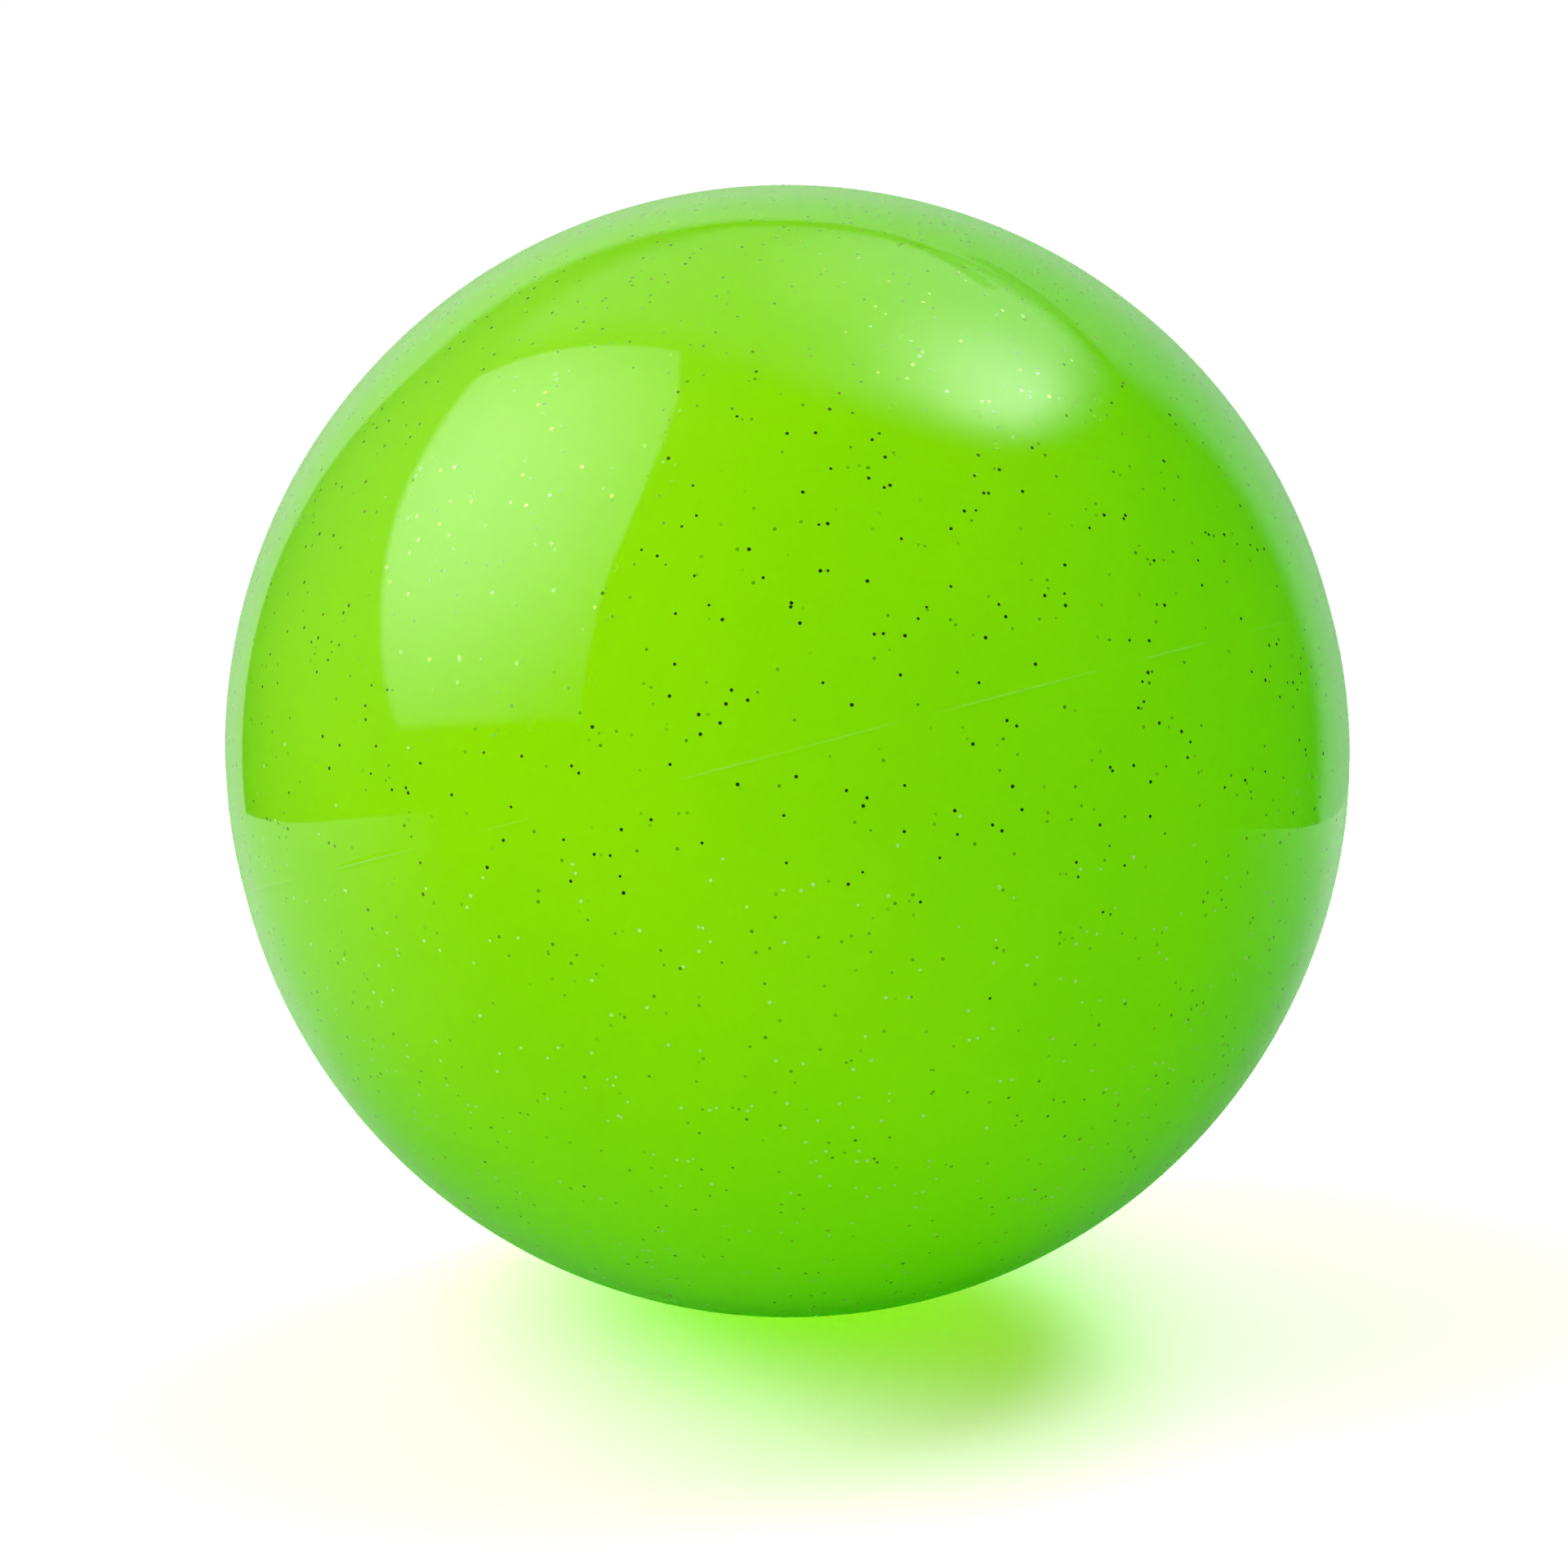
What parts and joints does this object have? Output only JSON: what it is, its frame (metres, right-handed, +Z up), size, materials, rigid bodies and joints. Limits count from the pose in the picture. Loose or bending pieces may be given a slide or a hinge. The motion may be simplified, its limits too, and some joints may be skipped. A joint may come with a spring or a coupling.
{
  "type": "inflatable play ball",
  "caption": "Seamless hollow vinyl ball, translucent lime green with glitter in its wall, a fine mould parting line, and a pull-out stopper set flush in a valve seat.",
  "frame": {"origin": "centre of the ball", "axes": "+Z up with the ball lying as it was set down; the mould axis, which the valve is on, leans 14.6 degrees towards -X and 15 degrees towards +Y"},
  "size_m": [0.2296, 0.2294, 0.231],
  "materials": {
    "glitter_vinyl": "gloss",
    "seat_vinyl": "satin",
    "stopper_plastic": "satin"
  },
  "bodies": {
    "ball": {"shell": "glitter_vinyl", "valve_seat": "seat_vinyl"},
    "stopper": {"stopper": "stopper_plastic"}
  },
  "joints": [
    {"name": "stopper_pull", "type": "slide", "parent": "ball", "child": "stopper", "axis": [-0.2521, 0.2505, 0.9347], "range_m": [0, 0.04]}
  ]
}
